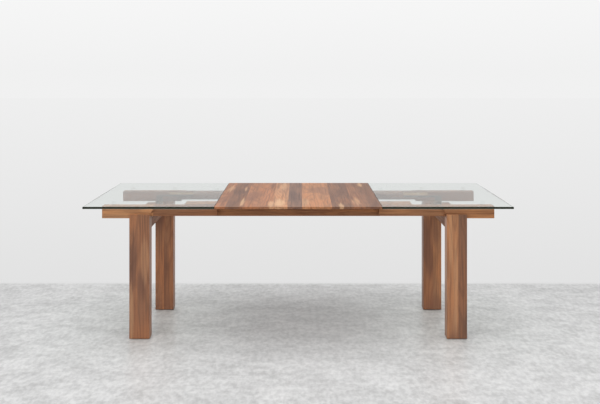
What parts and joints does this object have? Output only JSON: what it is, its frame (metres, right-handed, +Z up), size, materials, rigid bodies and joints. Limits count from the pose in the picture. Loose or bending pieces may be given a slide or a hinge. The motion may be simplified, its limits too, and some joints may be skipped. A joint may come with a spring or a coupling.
{
  "type": "extendable dining table",
  "caption": "Walnut dining table with glass ends on sliding portal legs and a lift-out wooden leaf between them.",
  "frame": {"origin": "on the floor under the middle of the table, which is open with its leaf in place", "axes": "+X along the table's length, +Y to the rear, +Z up"},
  "size_m": [2.31, 0.95, 0.76],
  "materials": {
    "walnut": "oiled walnut, staves of mixed tone with a little pale sapwood",
    "clear_glass": "clear tempered glass, dark green at the edges, polished",
    "clear_spacer": "clear acrylic disc",
    "steel": "plain zinc-plated steel",
    "dark_steel": "blackened, oiled steel",
    "brass": "machined brass",
    "nylon": "dark matt nylon",
    "beech": "waxed beech"
  },
  "bodies": {
    "centre_frame": {"front_centre_slide": "walnut", "front_pinion_axle": "steel", "front_pinion_washer": "steel", "left_centre_tie": "walnut", "rear_centre_slide": "walnut", "rear_pinion_axle": "steel", "rear_pinion_washer": "steel", "right_centre_tie": "walnut", "tie_screws": "steel"},
    "left_end": {"front_left_arm": "walnut", "front_left_leg": "walnut", "front_left_rack": "dark_steel", "front_left_rack_bracket": "dark_steel", "front_left_slide_runner": "beech", "left_arm_dowels": "beech", "left_bracket_screws": "steel", "left_crossbeam": "walnut", "left_glass_plate": "clear_glass", "left_glass_spacers": "clear_spacer", "left_leg_glides": "nylon", "left_runner_screws": "steel", "rear_left_arm": "walnut", "rear_left_leg": "walnut", "rear_left_rack": "dark_steel", "rear_left_rack_bracket": "dark_steel", "rear_left_slide_runner": "beech"},
    "right_end": {"front_right_arm": "walnut", "front_right_leg": "walnut", "front_right_rack": "dark_steel", "front_right_rack_bracket": "dark_steel", "front_right_slide_runner": "beech", "rear_right_arm": "walnut", "rear_right_leg": "walnut", "rear_right_rack": "dark_steel", "rear_right_rack_bracket": "dark_steel", "rear_right_slide_runner": "beech", "right_arm_dowels": "beech", "right_bracket_screws": "steel", "right_crossbeam": "walnut", "right_glass_plate": "clear_glass", "right_glass_spacers": "clear_spacer", "right_leg_glides": "nylon", "right_runner_screws": "steel"},
    "leaf": {"leaf_battens": "walnut", "leaf_locating_pins": "brass", "leaf_panel": "walnut"},
    "front_pinion_gear": {"front_pinion": "brass"},
    "rear_pinion_gear": {"rear_pinion": "brass"}
  },
  "joints": [
    {"name": "left_end_slide", "type": "slide", "parent": "centre_frame", "child": "left_end", "axis": [1, 0, 0], "range_m": [0, 0.45]},
    {"name": "right_end_slide", "type": "slide", "parent": "centre_frame", "child": "right_end", "axis": [-1, 0, 0], "range_m": [0, 0.45]},
    {"name": "leaf_lift", "type": "slide", "parent": "centre_frame", "child": "leaf", "axis": [0, 0, 1], "range_m": [0, 0.6]},
    {"name": "front_pinion_turn", "type": "hinge", "parent": "centre_frame", "child": "front_pinion_gear", "pos_m": [0, -0.189, 0.71], "axis": [0, 0, 1], "range_deg": [0, 1842.7]},
    {"name": "rear_pinion_turn", "type": "hinge", "parent": "centre_frame", "child": "rear_pinion_gear", "pos_m": [0, 0.189, 0.71], "axis": [0, 0, -1], "range_deg": [0, 1842.7]}
  ],
  "couplings": [
    {"joint": "right_end_slide", "follows": "left_end_slide", "ratio": 1},
    {"joint": "leaf_lift", "follows": "left_end_slide", "ratio": 1.3332},
    {"joint": "front_pinion_turn", "follows": "left_end_slide", "rad_per_m": 71.429},
    {"joint": "rear_pinion_turn", "follows": "left_end_slide", "rad_per_m": 71.429}
  ]
}
